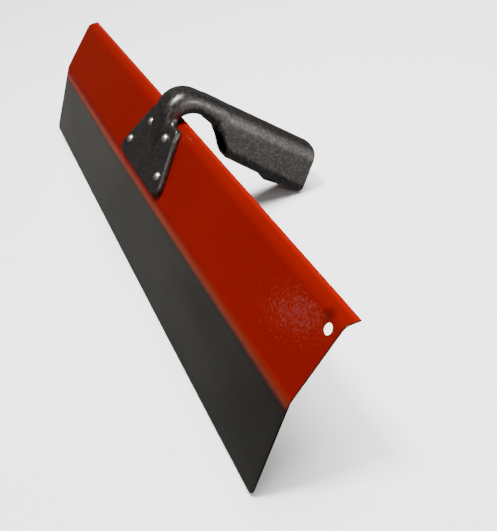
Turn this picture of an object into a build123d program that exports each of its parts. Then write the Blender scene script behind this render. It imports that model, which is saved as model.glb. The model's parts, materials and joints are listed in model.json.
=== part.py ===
from build123d import *
import os
from math import asin, atan2, cos, degrees, radians, sin, sqrt

# Finishing trowel: a folded spring-steel sheet with a cast, hollow handle riveted to its front.
# The pieces are drawn in the panel's own frame: X along the length, -Y out of the panel's front,
# +Z up the panel, origin on the bend under the panel. They are stood in the rest pose at the end.
# A point written as a pair is (Y, Z) in the side view.

# Sheet
LENGTH = 600.0
SHEET_T = 1.0
BLADE_BAND = 80.2        # bare working band, from the middle of its edge up to the bend
PANEL_BAND = 57.8        # painted panel, from the bend up to the lip
LIP_BAND = 10.5          # stiffening lip
BLADE_ANGLE = 16.7       # how far the blade band folds back from the panel
LIP_ANGLE = 50.5         # how far the lip folds back from the panel
BEND_R = 6.0             # front radius of the blade bend
LIP_R = 9.0              # front radius of the lip bend
EDGE_CROWN = 1.5         # how far the working edge bows out at its middle
BLADE_CORNER_R = 5.0
HOLE_R = 3.75            # hanging hole
HOLE_FROM_END = 9.5
HOLE_UP = 48.5

# Foot of the handle
FOOT_T = 5.5
FOOT_BOTTOM = 2.0
FOOT_TOP = 58.0
FOOT_HALF_BOTTOM = 57.0
FOOT_HALF_TOP = 31.0
FOOT_CORNER_R = 7.5
FOOT_TOP_R = 3.5
FOOT_EDGE_R = 1.5
WEB_HALF_LOW = 16.5      # the foot runs on up into the neck in a short web
WEB_HALF_HIGH = 13.0
WEB_TOP = 67.0
WEB_R = 9.0

# Rivets: half spacing and height of each row
UPPER_ROW = (19.0, 44.8)
LOWER_ROW = (40.0, 17.0)
SHANK_R = 2.4
RIVET_HOLE_R = 2.45
HEAD_R = 4.0
HEAD_H = 2.6
TAIL_R = 4.0
TAIL_H = 1.6

# Neck and grip
NECK_WIDTH = 31.0
GRIP_WIDTH = 33.0
GRIP_FRONT = 30.0        # where the grip's tube starts inside the neck
GRIP_MIDDLE = 100.0
GRIP_REAR = 170.0        # beyond its cut rear end
GRIP_UNDER_FRONT = 49.3
GRIP_UNDER_REAR = 47.7
GRIP_TOP_FRONT = 92.6
GRIP_TOP_REAR = 97.9
GRIP_TOP_R = 14.5
GRIP_UNDER_R = 11.0
GRIP_WALL = 3.6
MOUTH_TOP = (36.0, 70.4)
MOUTH_BOTTOM = (64.0, 48.9)
MOUTH_R = 46.0           # the mouth is a concave cut
REAR_TOP = (146.5, 97.0)
REAR_BOTTOM = (159.0, 47.8)
REAR_TOP_R = 9.0
REAR_BOTTOM_R = 3.5
HOLLOW_TOP_FRONT = (52.0, 89.5)
HOLLOW_TOP_REAR = (139.0, 92.5)
HOLLOW_BOTTOM_REAR = (154.0, REAR_BOTTOM[1] + GRIP_WALL - 1)
STOP_FRONT = 111.0       # small cast stop under the grip
STOP_CREST = 117.0
STOP_REAR = 146.0
STOP_DROP = 3.4
STOP_HALF_WIDTH = 6.0


def side_point(pair):
    return Vector(0, pair[0], pair[1])


def turned(distance, angle):
    """A step up the side view that leans back by angle."""
    return Vector(0, distance * sin(radians(angle)), distance * cos(radians(angle)))


FRONT = Plane(origin=(0, 0, 0), x_dir=(1, 0, 0), z_dir=(0, -1, 0))
ACROSS = Vector(1, 0, 0)
BLADE_UP = turned(1, -BLADE_ANGLE)
BLADE_EDGE = BLADE_UP * -BLADE_BAND
LIP_START = side_point((0, PANEL_BAND))
LIP_END = LIP_START + turned(LIP_BAND, LIP_ANGLE)


def blank_outline():
    """Outline of the sheet seen square to the blade band, with a crowned lower edge."""
    half = LENGTH / 2
    top = BLADE_BAND + PANEL_BAND + LIP_BAND
    with BuildSketch() as outline:
        with BuildLine():
            Polyline((-half, EDGE_CROWN), (-half, top), (half, top), (half, EDGE_CROWN))
            ThreePointArc((half, EDGE_CROWN), (0, 0), (-half, EDGE_CROWN))
        make_face()
        fillet(outline.vertices().group_by(Axis.Y)[0], BLADE_CORNER_R)
    return outline.sketch


def rivet_spots():
    """Where each rivet crosses the panel's front face, with its head along the local +Z."""
    rows = {"upper": UPPER_ROW, "lower": LOWER_ROW}
    sides = {"left": -1, "right": 1}
    return {
        f"rivet_{row}_{side}": FRONT * Location((sign * half, up, 0))
        for row, (half, up) in rows.items()
        for side, sign in sides.items()
    }


def make_sheet():
    """One folded sheet: working band, panel and lip, with the hanging hole near its right end."""
    bends = [(p.Y, p.Z) for p in (BLADE_EDGE, Vector(0, 0, 0), LIP_START, LIP_END)]
    front = Plane.YZ * FilletPolyline(*bends, radius=[BEND_R, LIP_R])
    section = Face(front.wire().offset_2d(SHEET_T, side=Side.RIGHT, closed=True))
    folded = extrude(section, LENGTH / 2, dir=ACROSS, both=True)
    blade_plane = Plane(origin=BLADE_EDGE, x_dir=ACROSS, z_dir=ACROSS.cross(BLADE_UP))
    sheet = folded & extrude(blade_plane * blank_outline(), 2 * BLADE_BAND, both=True)
    hanging_spot = FRONT * Location((LENGTH / 2 - HOLE_FROM_END, HOLE_UP, 0))
    sheet -= hanging_spot * Cylinder(HOLE_R, 10 * SHEET_T)
    for spot in rivet_spots().values():
        sheet -= spot * Cylinder(RIVET_HOLE_R, 10 * SHEET_T)
    return sheet


def make_rivet():
    """A set rivet along Z: domed head on the foot, formed tail behind the sheet."""
    tail_end = -SHEET_T - TAIL_H
    dome_r = (HEAD_R**2 + HEAD_H**2) / (2 * HEAD_H)
    with BuildSketch(Plane.XZ) as half_section:
        with BuildLine():
            Polyline(
                (0, FOOT_T + HEAD_H),
                (0, tail_end),
                (0.8 * TAIL_R, tail_end),
                (TAIL_R, tail_end + 0.4 * TAIL_H),
                (TAIL_R, -SHEET_T),
                (SHANK_R, -SHEET_T),
                (SHANK_R, FOOT_T),
                (HEAD_R, FOOT_T),
            )
            RadiusArc((HEAD_R, FOOT_T), (0, FOOT_T + HEAD_H), -dome_r)
        make_face()
    return revolve(half_section.sketch, Axis.Z)


def make_foot():
    """The flat, tapered plate that the rivets hold to the panel."""
    right = [
        (FOOT_HALF_BOTTOM, FOOT_BOTTOM),
        (FOOT_HALF_TOP, FOOT_TOP),
        (WEB_HALF_LOW, FOOT_TOP),
        (WEB_HALF_HIGH, WEB_TOP),
    ]
    left = [(-across, up) for across, up in reversed(right)]
    radii = [FOOT_CORNER_R, FOOT_TOP_R, WEB_R, 0]
    outline = make_face(FilletPolyline(*right, *left, radius=radii + radii[::-1], close=True))
    foot = extrude(FRONT * outline, FOOT_T)
    rim = foot.faces().sort_by(Axis.Y)[0].edges()
    return fillet(rim, FOOT_EDGE_R)


def ring(outer, inner, width, outer_r, inner_r):
    """A rounded section that runs across the side view between an outer and an inner point."""
    outer, inner = side_point(outer), side_point(inner)
    inward = (inner - outer).normalized()
    plane = Plane(origin=(outer + inner) / 2, x_dir=ACROSS, z_dir=ACROSS.cross(inward))
    shape = Rectangle(width, (inner - outer).length)
    shape = fillet(shape.vertices().group_by(Axis.Y)[0], outer_r)
    shape = fillet(shape.vertices().group_by(Axis.Y)[-1], inner_r)
    return plane * shape


def make_neck():
    """A tongue that rises out of the foot, bends back over the lip and runs into the grip."""
    bend_end = ((20.0, 91.7), (21.5, 73.8), NECK_WIDTH, 9.5, 7.0)
    bend = [
        ring((-4.2, 26.0), (-1.0, 26.0), 12.0, 1.5, 1.5),
        ring((-6.9, 36.0), (-1.0, 36.0), 19.5, 0.9, 2.4),
        ring((-9.8, 46.0), (-1.0, 46.0), 25.0, 3.6, 2.4),
        ring((-13.6, 60.0), (-0.6, 60.0), NECK_WIDTH - 1, 7.6, 4.0),
        ring((-13.4, 74.0), (4.4, 67.6), NECK_WIDTH, 9.2, 7.5),
        ring((-7.0, 84.4), (9.0, 71.2), NECK_WIDTH, 10.0, 8.5),
        ring((5.6, 90.2), (14.0, 73.8), NECK_WIDTH, 9.5, 7.5),
        ring(*bend_end),
    ]
    bridge = [ring(*bend_end), ring((42.0, 92.8), (42.0, 69.6), NECK_WIDTH, 11.0, 9.0)]
    return loft(bend) + loft(bridge)


def grip_tube(shrink):
    """The grip's oval tube before its ends are cut, drawn in by shrink all round."""
    length = GRIP_REAR - GRIP_FRONT
    top_slope = (GRIP_TOP_REAR - GRIP_TOP_FRONT) / length
    under_slope = (GRIP_UNDER_REAR - GRIP_UNDER_FRONT) / length
    widths = {GRIP_FRONT: NECK_WIDTH, GRIP_MIDDLE: GRIP_WIDTH, GRIP_REAR: GRIP_WIDTH}
    stations = [
        ring(
            (y, GRIP_TOP_FRONT + top_slope * (y - GRIP_FRONT) - shrink),
            (y, GRIP_UNDER_FRONT + under_slope * (y - GRIP_FRONT) + shrink),
            width - 2 * shrink,
            GRIP_TOP_R - shrink,
            GRIP_UNDER_R - shrink,
        )
        for y, width in widths.items()
    ]
    return loft(stations)


def side_slab(points, radii, half_width=2 * GRIP_WIDTH):
    """A slab across the tool whose side view is a closed outline with rounded corners."""
    outline = FilletPolyline(*points, radius=radii, close=True)
    return extrude(Plane.YZ * make_face(outline), half_width, both=True)


def make_mouth_cut():
    """The cylinder that cuts the grip's concave, slanting mouth."""
    top, bottom = side_point(MOUTH_TOP), side_point(MOUTH_BOTTOM)
    chord = bottom - top
    forward = chord.cross(ACROSS).normalized()
    centre = (top + bottom) / 2 + forward * sqrt(MOUTH_R**2 - chord.length**2 / 4)
    return Pos(centre) * Rot(Y=90) * Cylinder(MOUTH_R, 2 * GRIP_WIDTH)


def make_stop():
    """A low cast stop under the grip, which fades out towards the rear."""
    under = REAR_BOTTOM[1]
    root = under + GRIP_WALL
    crest = under - STOP_DROP
    points = [
        (STOP_FRONT - 1, root),
        (STOP_FRONT, under),
        (STOP_CREST, crest),
        (STOP_CREST + 7, crest + 0.9),
        (STOP_REAR, under),
        (STOP_REAR, root),
    ]
    return side_slab(points, [0, 1.5, 3, 6, 0, 0], STOP_HALF_WIDTH)


def make_grip():
    """Tube with a closed, slanting rear end, and a hollow that opens into the mouth."""
    above = (MOUTH_TOP[0], GRIP_TOP_REAR + 10)
    below = (MOUTH_TOP[0], MOUTH_BOTTOM[1] - 10)
    top_corner = (GRIP_MIDDLE, GRIP_TOP_REAR + 1)
    outside = side_slab(
        [above, MOUTH_TOP, MOUTH_BOTTOM, REAR_BOTTOM, REAR_TOP, top_corner],
        [0, 0, 0, REAR_BOTTOM_R, REAR_TOP_R, 0],
    )
    hollow_mouth = (MOUTH_TOP[0], MOUTH_TOP[1] - 1)
    hollow = side_slab(
        [HOLLOW_TOP_FRONT, hollow_mouth, below, HOLLOW_BOTTOM_REAR, HOLLOW_TOP_REAR],
        [6.0, 0, 0, 4.0, 9.0],
    )
    shell = (grip_tube(0) & outside) + make_stop()
    return shell - (grip_tube(GRIP_WALL) & hollow) - make_mouth_cut()


def make_handle():
    """One casting: foot, neck and grip, faced flat behind the foot and drilled for the rivets."""
    handle = make_foot() + make_neck() + make_grip()
    facing = Box(NECK_WIDTH, NECK_WIDTH, FOOT_TOP - FOOT_BOTTOM)
    handle -= Pos(0, NECK_WIDTH / 2, FOOT_TOP / 2) * facing
    for spot in rivet_spots().values():
        handle -= spot * Cylinder(RIVET_HOLE_R, 4 * FOOT_T)
    return handle


def heel_centre():
    """Centre of the round corner under the grip's rear end."""
    corner = side_point(REAR_BOTTOM)
    forward = (side_point(MOUTH_BOTTOM) - corner).normalized()
    up = (side_point(REAR_TOP) - corner).normalized()
    half_angle_sine = (forward - up).length / 2
    return corner + (forward + up).normalized() * (REAR_BOTTOM_R / half_angle_sine)


def stand_up(shapes):
    """Rest the tool on its working edge and its heel, with the origin below its middle."""
    back_edge = BLADE_EDGE - ACROSS.cross(BLADE_UP) * SHEET_T
    reach = heel_centre() - back_edge
    tilt = atan2(reach.Z, reach.Y) - asin(REAR_BOTTOM_R / reach.length)
    shapes = {name: Rot(X=-degrees(tilt)) * shape for name, shape in shapes.items()}
    box = Compound([solid for shape in shapes.values() for solid in shape.solids()]).bounding_box()
    settle = Pos(-box.center().X, -box.center().Y, -box.min.Z)
    return {name: settle * shape for name, shape in shapes.items()}


os.makedirs("parts", exist_ok=True)
rivets = {name: spot * make_rivet() for name, spot in rivet_spots().items()}
pieces = stand_up({"blade_sheet": make_sheet(), "handle": make_handle(), **rivets})
for name, shape in pieces.items():
    shape.label = name
    export_step(shape, f"parts/{name}.step")
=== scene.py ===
import bmesh
import bpy
import json
from math import atan2, cos, pi, radians, sin, sqrt, tan
from mathutils import Matrix, Vector


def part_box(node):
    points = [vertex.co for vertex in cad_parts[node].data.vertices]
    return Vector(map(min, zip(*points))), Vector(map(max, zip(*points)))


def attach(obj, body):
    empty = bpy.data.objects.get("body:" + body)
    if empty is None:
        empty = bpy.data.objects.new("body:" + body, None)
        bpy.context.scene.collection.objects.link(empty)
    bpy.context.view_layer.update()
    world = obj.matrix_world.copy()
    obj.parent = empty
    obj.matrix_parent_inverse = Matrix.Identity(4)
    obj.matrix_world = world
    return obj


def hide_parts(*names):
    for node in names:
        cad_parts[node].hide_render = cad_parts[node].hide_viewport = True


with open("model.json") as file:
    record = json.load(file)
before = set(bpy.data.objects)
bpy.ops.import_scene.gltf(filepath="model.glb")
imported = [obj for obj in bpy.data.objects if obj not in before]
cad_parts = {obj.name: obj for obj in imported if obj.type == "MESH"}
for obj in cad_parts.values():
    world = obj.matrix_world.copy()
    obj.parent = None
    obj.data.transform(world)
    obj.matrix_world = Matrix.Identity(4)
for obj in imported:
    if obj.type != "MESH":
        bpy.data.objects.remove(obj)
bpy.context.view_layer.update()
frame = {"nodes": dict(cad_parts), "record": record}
mounts = {m["name"]: m for m in frame["record"]["mounts"]}

MM = 0.001
X_AXIS = Vector((1, 0, 0))

# ---------------------------------------------------------------- sizes
# Sheet
HOLE_UP = 48.5 * MM            # hanging hole above the bend, measured up the panel
HOLE_R = mounts["hanging_hole"]["dims"]["r_mm"] * MM
SHEET_T = mounts["hanging_hole"]["dims"]["length_mm"] * MM
BLADE_BAND = 80.2 * MM         # working band, from the middle of its edge up to the bend
PANEL_BAND = 57.8 * MM         # panel, from the bend up to the lip
LIP_BAND = 10.5 * MM
LIP_ANGLE = radians(50.5)      # how far the lip folds back from the panel
BEND_R = 6.0 * MM              # front radii of the two folds
LIP_R = 9.0 * MM
EDGE_CROWN = 1.5 * MM          # how far the working edge bows out at its middle
CORNER_R = 5.0 * MM
HOLE_PATCH = 4.6 * MM          # half width of the mesh square that holds the hole
EDGE_BEVEL = 0.22 * MM         # how far the sheet's cut edges are broken

# Handle
FOOT_T = 5.5 * MM
FOOT_TOP = 58.0 * MM
TONGUE_HALF = 15.0 * MM        # half width of the tongue at the foot's top
TONGUE_LOW = 27.0 * MM         # where the tongue rises out of the foot
TONGUE_TAPER = 0.4             # its width there, as a share of its width at the top
FILLET_REACH = 7.0 * MM
GRIP_START = 42.0 * MM         # how far behind the panel the neck runs into the grip
PLUG_R = 2.6 * MM              # a little more than the shank holes
SKIN_STEP = 0.8 * MM           # voxel size of the casting's skin

# Rivets
HEAD_R = 4.0 * MM
HEAD_H = 2.6 * MM
HEAD_RIM = 0.35 * MM           # upright rim under the dome
SHANK_R = 2.4 * MM
TAIL_R = 4.0 * MM
TAIL_H = 1.6 * MM

# Camera
CAMERA_AT = Vector((0.537653, -0.153232, 0.386544))
CAMERA_SIGHT = Vector((-0.736117, 0.235944, -0.634399))
CAMERA_UP = Vector((-0.540125, 0.360096, 0.760655))
SENSOR_WIDTH = 36.0
FOCAL_LENGTH = 46.193

# ---------------------------------------------------------------- where things are, from the frame
hole_centre = Vector(mounts["hanging_hole"]["pos_m"])
panel_out = Vector(mounts["hanging_hole"]["axis"])
blade_out = Vector(mounts["blade_face"]["axis"])
panel_up = panel_out.cross(X_AXIS)
blade_up = blade_out.cross(X_AXIS)
panel_turn = Matrix((X_AXIS, panel_up, panel_out)).transposed().to_4x4()
bend_line = hole_centre + panel_out * (SHEET_T / 2) - panel_up * HOLE_UP
bend_line.x = 0
lip_up = Matrix.Rotation(-LIP_ANGLE, 3, X_AXIS) @ panel_up
lip_edge = (bend_line + panel_up * PANEL_BAND).dot(lip_up) + LIP_BAND
smudge_centre = hole_centre - X_AXIS * 5.5 * MM + panel_up * 6.2 * MM
half_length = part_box("blade_sheet")[1].x
rivet_nodes = sorted(name for name in frame["nodes"] if name.startswith("rivet_"))


# ---------------------------------------------------------------- shader building blocks
class Shader:
    """A material under construction: short calls add and join nodes."""

    def __init__(self, name):
        self.material = bpy.data.materials.new(name)
        self.material.use_nodes = True
        self.nodes = self.material.node_tree.nodes
        self.links = self.material.node_tree.links
        self.surface = self.nodes["Principled BSDF"]
        self.place = self.nodes.new("ShaderNodeTexCoord").outputs["Object"]

    def put(self, socket, value):
        if isinstance(value, bpy.types.NodeSocket):
            self.links.new(value, socket)
        else:
            socket.default_value = value

    def add(self, kind, out=0, inputs=None, **settings):
        node = self.nodes.new("ShaderNode" + kind)
        for key, value in settings.items():
            setattr(node, key, value)
        for key, value in (inputs or {}).items():
            self.put(node.inputs[key], value)
        return node.outputs[out]

    def along(self, way):
        """How far along a direction the shaded point lies."""
        ends = {0: self.place, 1: tuple(way)}
        return self.add("VectorMath", out="Value", operation="DOT_PRODUCT", inputs=ends)

    def distance(self, centre):
        """How far the shaded point is from a centre."""
        ends = {0: self.place, 1: tuple(centre)}
        return self.add("VectorMath", out="Value", operation="DISTANCE", inputs=ends)

    def math(self, operation, a, b=0.0):
        return self.add("Math", operation=operation, inputs={0: a, 1: b})

    def noise(self, scale, detail=3.0, roughness=0.5, where=None, distortion=0.0):
        values = {"Vector": where or self.place, "Scale": scale, "Detail": detail}
        values.update({"Roughness": roughness, "Distortion": distortion})
        return self.add("TexNoise", inputs=values)

    def stretched(self, scale):
        """Object coordinates scaled unevenly, for streaks along the direction with the low scale."""
        return self.add("Mapping", inputs={"Vector": self.place, "Scale": scale})

    def remap(self, value, low, high, to_low=0.0, to_high=1.0, smooth=False):
        kind = "SMOOTHSTEP" if smooth else "LINEAR"
        ends = {"Value": value, "From Min": low, "From Max": high, "To Min": to_low, "To Max": to_high}
        return self.add("MapRange", interpolation_type=kind, inputs=ends)

    def mix(self, share, a, b):
        """Colour a turning into colour b. The Mix node's colour sockets are 6 and 7, and 2 going out."""
        return self.add("Mix", out=2, data_type="RGBA", inputs={0: share, 6: a, 7: b})

    def blend(self, share, a, b):
        """Number a turning into number b. The Mix node's number sockets are 2 and 3."""
        return self.add("Mix", inputs={0: share, 2: a, 3: b})

    def bump(self, height, distance, strength=1.0, under=None):
        values = {"Height": height, "Distance": distance, "Strength": strength}
        if under:
            values["Normal"] = under
        return self.add("Bump", inputs=values)

    def set(self, **values):
        for key, value in values.items():
            self.put(self.surface.inputs[key.replace("_", " ")], value)
        return self.material


def rgb(red, green, blue):
    return (red, green, blue, 1.0)


def painted_steel():
    """Bare satin steel on the working band and gloss enamel above it, with a soft sprayed border."""
    s = Shader("painted_spring_steel")

    # height above the bend, which the spray's edge follows: low on the left, wavy and fuzzy
    above_bend = s.math("SUBTRACT", s.along(blade_up), bend_line.dot(blade_up))
    drift = s.math("MULTIPLY", s.math("SUBTRACT", s.noise(9.0), 0.5), 2.0 * MM)
    fuzz = s.math("MULTIPLY", s.math("SUBTRACT", s.noise(700.0, 2.0), 0.5), 0.7 * MM)
    slant = s.remap(s.along(X_AXIS), -60.0 * MM, half_length, 4.6 * MM, -2.0 * MM)
    border = s.math("ADD", s.math("ADD", above_bend, slant), s.math("ADD", drift, fuzz))
    paint = s.remap(border, -12.0 * MM, -3.5 * MM, smooth=True)
    film = s.remap(border, -10.0 * MM, 3.0 * MM, smooth=True)

    # bare steel: rolled grain along the length, faint cloudy stains, and a painted reflection that makes
    # it paler at a flat angle
    grain = s.noise(1.0, 4.0, 0.6, where=s.stretched((6.0, 900.0, 900.0)))
    clouds = s.noise(14.0, 4.0, 0.6)
    smear = s.noise(1.0, 3.0, 0.5, where=s.stretched((9.0, 60.0, 60.0)))
    steel = s.mix(s.remap(clouds, 0.3, 0.7), rgb(0.088, 0.084, 0.074), rgb(0.110, 0.105, 0.092))
    steel = s.mix(s.remap(grain, 0.35, 0.7, 0.0, 0.20), steel, rgb(0.185, 0.177, 0.158))
    # painted reflection: the steel's colour turns paler at a flat angle, standing in for the pale floor
    # seen in the steel
    painted_reflection_share = s.add("LayerWeight", out="Facing", inputs={"Blend": 0.5})
    steel = s.mix(s.remap(painted_reflection_share, 0.48, 0.80), steel, rgb(0.34, 0.33, 0.30))
    steel_rough = s.remap(s.math("ADD", clouds, smear), 0.6, 1.4, 0.36, 0.50)

    # enamel: a slightly uneven coat, paler where it thins out over the steel, with a painted highlight
    # that makes that thin strip paler still away from the hole, and a painted highlight along the lip's
    # edge
    shade = s.noise(7.0, 3.0, 0.55)
    red = s.mix(s.remap(shade, 0.3, 0.7), rgb(0.092, 0.0018, 0.0002), rgb(0.108, 0.0023, 0.0002))
    thin = s.remap(film, 0.0, 1.0, 1.0, 0.0)
    toward_hole = s.remap(s.along(X_AXIS), -60.0 * MM, half_length)
    # thin overspray over the steel, partly a painted highlight: the strip turns paler away from the hole,
    # where the bend catches the light, and keeps the thin coat's brownish red towards the hole
    thin_coat_and_highlight = s.mix(toward_hole, rgb(0.215, 0.053, 0.031), rgb(0.120, 0.025, 0.012))
    red = s.mix(s.math("MULTIPLY", thin, 0.85), red, thin_coat_and_highlight)
    # painted highlight: a brighter red along the lip's outer edge
    lip_edge_highlight = s.remap(s.along(lip_up), lip_edge - 5.0 * MM, lip_edge - 1.5 * MM, smooth=True)
    red = s.mix(lip_edge_highlight, red, rgb(0.170, 0.0018, 0.0001))
    smudge = s.remap(s.distance(smudge_centre), 2.0 * MM, 7.0 * MM, 0.6, 0.0, smooth=True)
    red = s.mix(smudge, red, rgb(0.03, 0.002, 0.001))
    color = s.mix(s.remap(paint, 0.0, 0.6), steel, red)
    color = s.mix(s.math("MULTIPLY", cut_end(s), 0.85), color, rgb(0.020, 0.007, 0.004))
    rough = s.blend(paint, steel_rough, 0.5)
    metal = s.remap(paint, 0.3, 1.0, 0.96, 0.0)

    # relief: shallow waves in the sheet, the steel's grain and the step up to the paint
    waves = s.bump(s.noise(11.0, 1.0), 0.3 * MM, 0.25)
    grain_bump = s.bump(grain, 0.012 * MM, s.remap(paint, 0.0, 0.6, 1.0, 0.0), under=waves)
    film_bump = s.bump(film, 0.03 * MM, 0.6, under=grain_bump)

    # orange peel: deep in the gloss, which lies on the enamel alone, and shallow in the colour coat
    fine = s.math("MULTIPLY", s.noise(480.0, 2.0, 0.5, distortion=0.4), 0.7)
    wide = s.math("MULTIPLY", s.noise(210.0, 2.0, 0.5), 0.3)
    peel = s.math("MULTIPLY", s.math("ADD", fine, wide), paint)
    normal = s.bump(peel, 0.06 * MM, 1.0, under=film_bump)
    gloss = s.bump(peel, 0.15 * MM, 1.0, under=film_bump)
    s.set(Coat_Weight=s.math("MULTIPLY", paint, 0.6), Coat_Roughness=0.05, Coat_Normal=gloss)
    return s.set(Base_Color=color, Roughness=rough, Metallic=metal, Normal=normal, Specular_IOR_Level=0.0)


def cut_end(s):
    """1 on the sheet's two cut ends, 0 elsewhere."""
    across = s.math("ABSOLUTE", s.add("SeparateXYZ", inputs={0: s.place}))
    return s.remap(across, half_length - 0.7 * MM, half_length - 0.3 * MM)


def hammertone():
    """Charcoal hammered enamel: shallow dimples, a pale metallic mottle, and painted shade that makes the
    foot darker than the grip.
    """
    s = Shader("hammertone_enamel")
    mottle = s.noise(400.0, 2.0, 0.5, distortion=0.2)
    dimples = s.noise(300.0, 2.0, 0.5)
    patches = s.noise(45.0, 3.0, 0.6)
    dark = s.mix(s.remap(patches, 0.3, 0.7), rgb(0.095, 0.088, 0.083), rgb(0.125, 0.116, 0.108))
    color = s.mix(s.remap(mottle, 0.40, 0.72, smooth=True), dark, rgb(0.19, 0.178, 0.165))
    out = s.math("SUBTRACT", s.along(panel_out), bend_line.dot(panel_out))
    # painted shade: the foot, which faces away from the light, is darkened towards black against the grip
    foot_shade = s.remap(out, -30.0 * MM, 2.0 * MM, 0.0, 0.15)
    color = s.mix(foot_shade, color, rgb(0.0, 0.0, 0.0))
    rough = s.remap(mottle, 0.35, 0.65, 0.33, 0.42)
    normal = s.bump(s.math("ADD", dimples, s.math("MULTIPLY", mottle, 0.4)), 0.19 * MM, 0.8)
    return s.set(Base_Color=color, Roughness=rough, Metallic=0.97, Normal=normal)


def bright_rivet():
    """Bright aluminium with a few fine scuffs."""
    s = Shader("rivet_metal")
    scuffs = s.noise(900.0, 3.0, 0.6)
    color = s.mix(s.remap(scuffs, 0.35, 0.65), rgb(0.92, 0.89, 0.80), rgb(0.78, 0.75, 0.66))
    rough = s.remap(scuffs, 0.3, 0.7, 0.30, 0.42)
    normal = s.bump(scuffs, 0.03 * MM, 0.5)
    return s.set(Base_Color=color, Roughness=rough, Metallic=1.0, Normal=normal)


# ---------------------------------------------------------------- meshes
def new_object(name, mesh, material, slot, *nodes):
    mesh.materials.clear()
    mesh.materials.append(material)
    for face in mesh.polygons:
        face.use_smooth = True
    piece = bpy.data.objects.new(name, mesh)
    bpy.context.scene.collection.objects.link(piece)
    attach(piece, "root")
    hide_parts(*nodes)
    return piece


def applied(piece):
    """Bakes the piece's modifiers into its mesh."""
    bpy.context.view_layer.update()
    shaped = piece.evaluated_get(bpy.context.evaluated_depsgraph_get())
    piece.data = bpy.data.meshes.new_from_object(shaped)
    piece.modifiers.clear()


def even_normals(piece):
    piece.modifiers.new("even_normals", "WEIGHTED_NORMAL")
    applied(piece)


def mesh_data(name, mesh):
    """The finished mesh of a bmesh, which is freed."""
    data = bpy.data.meshes.new(name)
    mesh.to_mesh(data)
    mesh.free()
    return data


class FoldedPath:
    """The sheet's front line from the working edge to the lip's edge, by distance along it."""

    def __init__(self):
        edge = bend_line - blade_up * BLADE_BAND
        lip_start = bend_line + panel_up * PANEL_BAND
        corners = [edge, bend_line, lip_start, lip_start + lip_up * LIP_BAND]
        ways = [blade_up, panel_up, lip_up]
        turns = [ways[0].angle(ways[1]), ways[1].angle(ways[2])]
        cuts = [0, BEND_R * tan(turns[0] / 2), LIP_R * tan(turns[1] / 2), 0]
        self.spans = []
        start = 0.0
        for i, way in enumerate(ways):
            run = (corners[i + 1] - corners[i]).length - cuts[i] - cuts[i + 1]
            self.spans.append((start, run, corners[i] + way * cuts[i], way, 0.0))
            start += run
            if i < len(turns):
                radius = (BEND_R, LIP_R)[i]
                arc = radius * turns[i]
                self.spans.append((start, arc, corners[i + 1] - way * cuts[i + 1], way, radius))
                start += arc
        self.length = start
        self.bend_start, self.bend_end = self.spans[1][0], self.spans[2][0]
        self.lip_start, self.lip_end = self.spans[3][0], self.spans[4][0]
        self.hole = self.bend_end - cuts[1] + HOLE_UP

    def at(self, distance):
        """(point, outward normal) of the front face."""
        for start, run, point, way, radius in self.spans:
            if distance <= start + run + 1e-9:
                break
        step = distance - start
        out = X_AXIS.cross(way)
        if not radius:
            return point + way * step, out
        angle = step / radius
        turned_out = Matrix.Rotation(-angle, 3, X_AXIS) @ out
        return point + (turned_out - out) * radius, turned_out


def steps(low, high, count):
    return [low + (high - low) * i / count for i in range(count + 1)]


def sheet_columns(patch):
    """X stations: fine round the rounded corners and across the hole, wide between."""
    corner = [half_length - CORNER_R + CORNER_R * sin(pi / 2 * i / 6) for i in range(7)]
    columns = [-x for x in reversed(corner)] + steps(-half_length + CORNER_R, patch[0], 64)[1:]
    return columns + patch[1:] + corner[1:]


def edge_rise(x):
    """How far the working edge stands above its middle at x: the crown and the round corners."""
    rise = EDGE_CROWN * (x / half_length) ** 2
    over = max(0.0, abs(x) - (half_length - CORNER_R))
    return rise + CORNER_R - sqrt(max(0.0, CORNER_R**2 - over**2))


def sheet_rows(path, patch):
    """Stations along the path: closer towards the working edge, fine round the folds and the hole."""
    shares = (0, 0.012, 0.03, 0.06, 0.12, 0.2, 0.32, 0.46, 0.6, 0.74, 0.87, 1)
    rows = [path.bend_start * share for share in shares]
    rows += steps(path.bend_start, path.bend_end, 6)[1:]
    rows += steps(path.bend_end, patch[0], 8)[1:] + patch[1:]
    rows += steps(patch[-1], path.lip_start, 2)[1:]
    rows += steps(path.lip_start, path.lip_end, 8)[1:]
    return rows + steps(path.lip_end, path.length, 4)[1:]


def hole_rings(patch_x, patch_s, centre_x, centre_s):
    """The square round the hole and the hole itself, as two matching rings on the flat sheet."""
    square = [(x, patch_s[0]) for x in patch_x[:-1]]
    square += [(patch_x[-1], s) for s in patch_s[:-1]]
    square += [(x, patch_s[-1]) for x in reversed(patch_x[1:])]
    square += [(patch_x[0], s) for s in reversed(patch_s[1:])]
    turns = [atan2(s - centre_s, x - centre_x) for x, s in square]
    circle = [(centre_x + HOLE_R * cos(turn), centre_s + HOLE_R * sin(turn)) for turn in turns]
    return square, circle


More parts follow.
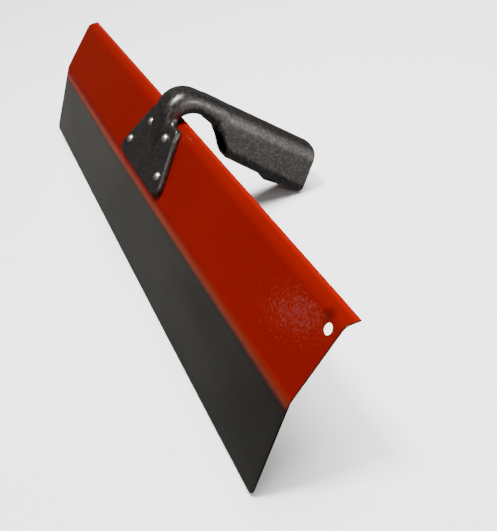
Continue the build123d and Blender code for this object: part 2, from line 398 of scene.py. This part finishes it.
def make_sheet(material):
    """The folded sheet: a grid over the flat blank, laid along the path, with a back one thickness in."""
    path = FoldedPath()
    hole_x = hole_centre.x
    patch_x = steps(hole_x - HOLE_PATCH, hole_x + HOLE_PATCH, 8)
    patch_s = steps(path.hole - HOLE_PATCH, path.hole + HOLE_PATCH, 8)
    columns = sheet_columns(patch_x)
    rows = sheet_rows(path, patch_s)

    mesh = bmesh.new()
    pairs = {}

    def pair(x, s):
        """The front and back vertex at one place on the flat sheet."""
        key = (round(x, 7), round(s, 7))
        if key not in pairs:
            lifted = s + edge_rise(x) * max(0.0, 1 - s / path.bend_start)
            point, out = path.at(lifted)
            front = point + X_AXIS * x
            pairs[key] = (mesh.verts.new(front), mesh.verts.new(front - out * SHEET_T))
        return pairs[key]

    def face(*places):
        corners = [pair(*place) for place in places]
        mesh.faces.new([c[0] for c in corners])
        mesh.faces.new([c[1] for c in reversed(corners)])

    def in_patch(x, s):
        return patch_x[0] < x < patch_x[-1] and patch_s[0] < s < patch_s[-1]

    for x0, x1 in zip(columns, columns[1:]):
        for s0, s1 in zip(rows, rows[1:]):
            if not in_patch((x0 + x1) / 2, (s0 + s1) / 2):
                face((x0, s0), (x1, s0), (x1, s1), (x0, s1))

    square, circle = hole_rings(patch_x, patch_s, hole_x, path.hole)
    for i in range(len(square)):
        j = (i + 1) % len(square)
        face(square[i], square[j], circle[j], circle[i])

    backs = {front: back for front, back in pairs.values()}
    for edge in [e for e in mesh.edges if len(e.link_faces) == 1 and e.verts[0] in backs]:
        a, b = edge.verts
        mesh.faces.new((a, b, backs[b], backs[a]))
    bmesh.ops.recalc_face_normals(mesh, faces=mesh.faces)
    sharp = [e for e in mesh.edges if e.calc_face_angle(0) > radians(60)]
    bmesh.ops.bevel(
        mesh, geom=sharp, offset=EDGE_BEVEL, segments=3, profile=0.5, affect="EDGES", clamp_overlap=True
    )
    data = mesh_data("blade_sheet_folded", mesh)
    piece = new_object("blade_sheet_folded", data, material, "sheet_steel", "blade_sheet")
    even_normals(piece)


def panel_place(point):
    """(across, up the panel, out from its face) of a point."""
    local = point - bend_line
    return point.x, local.dot(panel_up), local.dot(panel_out)


def plug_holes(data):
    """Fills the shank holes, which the rivets hide, so that the skin runs on under the heads."""
    mesh = bmesh.new()
    mesh.from_mesh(data)
    for node in rivet_nodes:
        across, up, _ = panel_place(sum(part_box(node), Vector()) / 2)
        middle = bend_line + X_AXIS * across + panel_up * up + panel_out * (FOOT_T / 2)
        place = Matrix.Translation(middle) @ panel_turn
        bmesh.ops.create_cone(
            mesh, cap_ends=True, segments=32, radius1=PLUG_R, radius2=PLUG_R, depth=FOOT_T, matrix=place
        )
    mesh.to_mesh(data)
    mesh.free()


def smoothed(piece, iterations, group=""):
    soften = piece.modifiers.new("soften", "SMOOTH")
    soften.factor = 0.5
    soften.iterations = iterations
    soften.vertex_group = group
    applied(piece)


def fillet_share(point):
    """1 in the corner between tongue and foot and where the neck runs into the grip, 0 well away."""
    across, up, out = panel_place(point)
    risen = (up - TONGUE_LOW) / (FOOT_TOP - TONGUE_LOW)
    half_width = TONGUE_HALF * min(1.0, TONGUE_TAPER + (1 - TONGUE_TAPER) * risen)
    below = max(0.0, TONGUE_LOW - up)
    above = max(0.0, up - FOOT_TOP)
    away = sqrt((abs(across) - half_width) ** 2 + (out - FOOT_T) ** 2 + below**2 + above**2)
    away = min(away, abs(out + GRIP_START))
    return max(0.0, min(1.0, (FILLET_REACH - away) / (FILLET_REACH / 2)))


def make_handle(material):
    """The casting: crisp where it was trimmed, with wide cast fillets where the tongue leaves the foot."""
    data = frame["nodes"]["handle"].data.copy()
    data.name = "handle_casting"
    plug_holes(data)
    piece = new_object("handle_casting", data, material, "hammertone_casting", "handle")
    remesh = piece.modifiers.new("even_skin", "REMESH")
    remesh.mode = "VOXEL"
    remesh.voxel_size = SKIN_STEP
    remesh.use_smooth_shade = True
    applied(piece)
    fillets = piece.vertex_groups.new(name="cast_fillets")
    for vertex in piece.data.vertices:
        share = fillet_share(vertex.co)
        if share > 0:
            fillets.add([vertex.index], share, "REPLACE")
    smoothed(piece, 90, "cast_fillets")
    smoothed(piece, 4)


def make_rivet(node, material):
    """A domed head with a small rim, shank and formed tail, turned about the rivet's axis."""
    centre = sum(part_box(node), Vector()) / 2
    on_panel = centre - panel_out * (centre - bend_line).dot(panel_out)
    dome_h = HEAD_H - HEAD_RIM
    dome_r = (HEAD_R**2 + dome_h**2) / (2 * dome_h)
    sweep = atan2(HEAD_R, dome_r - dome_h)
    top = FOOT_T + HEAD_H
    back = -SHEET_T
    profile = [(dome_r * sin(sweep * i / 14), top - dome_r * (1 - cos(sweep * i / 14))) for i in range(15)]
    profile += [(HEAD_R, FOOT_T + 0.1 * MM), (HEAD_R - 0.15 * MM, FOOT_T), (SHANK_R, FOOT_T)]
    profile += [(SHANK_R, back), (TAIL_R - 0.2 * MM, back), (TAIL_R, back - 0.2 * MM)]
    profile += [(0.97 * TAIL_R, back - 0.6 * TAIL_H), (0.8 * TAIL_R, back - TAIL_H), (0, back - TAIL_H)]
    mesh = bmesh.new()
    verts = [mesh.verts.new((r, 0, h)) for r, h in profile]
    edges = [mesh.edges.new(pair) for pair in zip(verts, verts[1:])]
    bmesh.ops.spin(mesh, geom=verts + edges, cent=(0, 0, 0), axis=(0, 0, 1), angle=2 * pi, steps=48)
    bmesh.ops.remove_doubles(mesh, verts=mesh.verts, dist=1e-6)
    bmesh.ops.recalc_face_normals(mesh, faces=mesh.faces)
    mesh.transform(Matrix.Translation(on_panel) @ panel_turn)
    name = node + "_turned"
    even_normals(new_object(name, mesh_data(name, mesh), material, "rivet", node))


# ---------------------------------------------------------------- camera, floor and light
def make_camera():
    lens = bpy.data.cameras.new("camera")
    lens.sensor_width = SENSOR_WIDTH
    lens.lens = FOCAL_LENGTH
    camera = bpy.data.objects.new("camera", lens)
    bpy.context.scene.collection.objects.link(camera)
    sight = CAMERA_SIGHT.normalized()
    right = sight.cross(CAMERA_UP).normalized()
    turn = Matrix((right, right.cross(sight), -sight)).transposed().to_4x4()
    camera.matrix_world = Matrix.Translation(CAMERA_AT) @ turn
    bpy.context.scene.camera = camera


def make_floor():
    """A plain pale floor that stays out of the gloss, as a matt sweep lit from behind does."""
    bpy.ops.mesh.primitive_plane_add(size=24.0, location=(0, 0, 0))
    floor = bpy.context.object
    floor.name = "floor"
    floor.visible_glossy = False
    s = Shader("pale_floor")
    tone = s.mix(s.noise(3.0), rgb(0.86, 0.86, 0.86), rgb(0.88, 0.88, 0.88))
    floor.data.materials.append(s.set(Base_Color=tone, Roughness=0.8))


def softbox(name, way, distance, size, watts, aim=(0, 0, 0.06), glossy=True):
    """A rectangular light off from aim along way. Glossy says whether reflections show it."""
    data = bpy.data.lights.new(name, "AREA")
    data.shape = "RECTANGLE"
    data.size, data.size_y = size
    data.energy = watts
    lamp = bpy.data.objects.new(name, data)
    lamp.visible_camera = False
    lamp.visible_glossy = glossy
    bpy.context.scene.collection.objects.link(lamp)
    toward = Vector(way).normalized()
    lamp.location = Vector(aim) + toward * distance
    lamp.rotation_euler = toward.to_track_quat("Z", "Y").to_euler()


def make_world():
    """A dim white world that brightens softly towards the right and the back."""
    world = bpy.data.worlds.new("studio")
    bpy.context.scene.world = world
    world.use_nodes = True
    nodes, links = world.node_tree.nodes, world.node_tree.links
    background = nodes["Background"]
    background.inputs["Color"].default_value = (1, 1, 1, 1)
    way = nodes.new("ShaderNodeTexCoord").outputs["Generated"]
    toward_side = nodes.new("ShaderNodeVectorMath")
    toward_side.operation = "DOT_PRODUCT"
    toward_side.inputs[1].default_value = Vector((0.75, 0.6, 0.1)).normalized()
    glow = nodes.new("ShaderNodeMapRange")
    glow.interpolation_type = "SMOOTHSTEP"
    for key, value in {"From Min": 0.6, "From Max": 0.97, "To Min": 0.1, "To Max": 1.25}.items():
        glow.inputs[key].default_value = value
    links.new(way, toward_side.inputs[0])
    links.new(toward_side.outputs["Value"], glow.inputs["Value"])
    links.new(glow.outputs["Result"], background.inputs["Strength"])


def make_light():
    """A wide key that lights without showing in the gloss, and small boxes for the highlights."""
    softbox("key_above_behind", (0, 0.3, 0.95), 2.5, (1.5, 1.5), 175, glossy=False)
    softbox("overhead", (0.0, -0.15, 0.99), 1.5, (0.28, 0.28), 42)
    softbox("right_spot", (0.85, 0.48, 0.2), 1.5, (0.14, 0.14), 3.5)
    softbox("right_front", (0.7, -0.6, 0.25), 1.5, (0.4, 0.4), 1.5)
    softbox("enamel_glare", (-0.668, -0.70, 0.235), 1.2, (0.06, 0.06), 0.022, aim=(0.275, -0.042, 0.1))


sheet_material = painted_steel()
cast_material = hammertone()
rivet_material = bright_rivet()
make_camera()
make_floor()
make_world()
make_light()
make_sheet(sheet_material)
make_handle(cast_material)
for node_name in rivet_nodes:
    make_rivet(node_name, rivet_material)
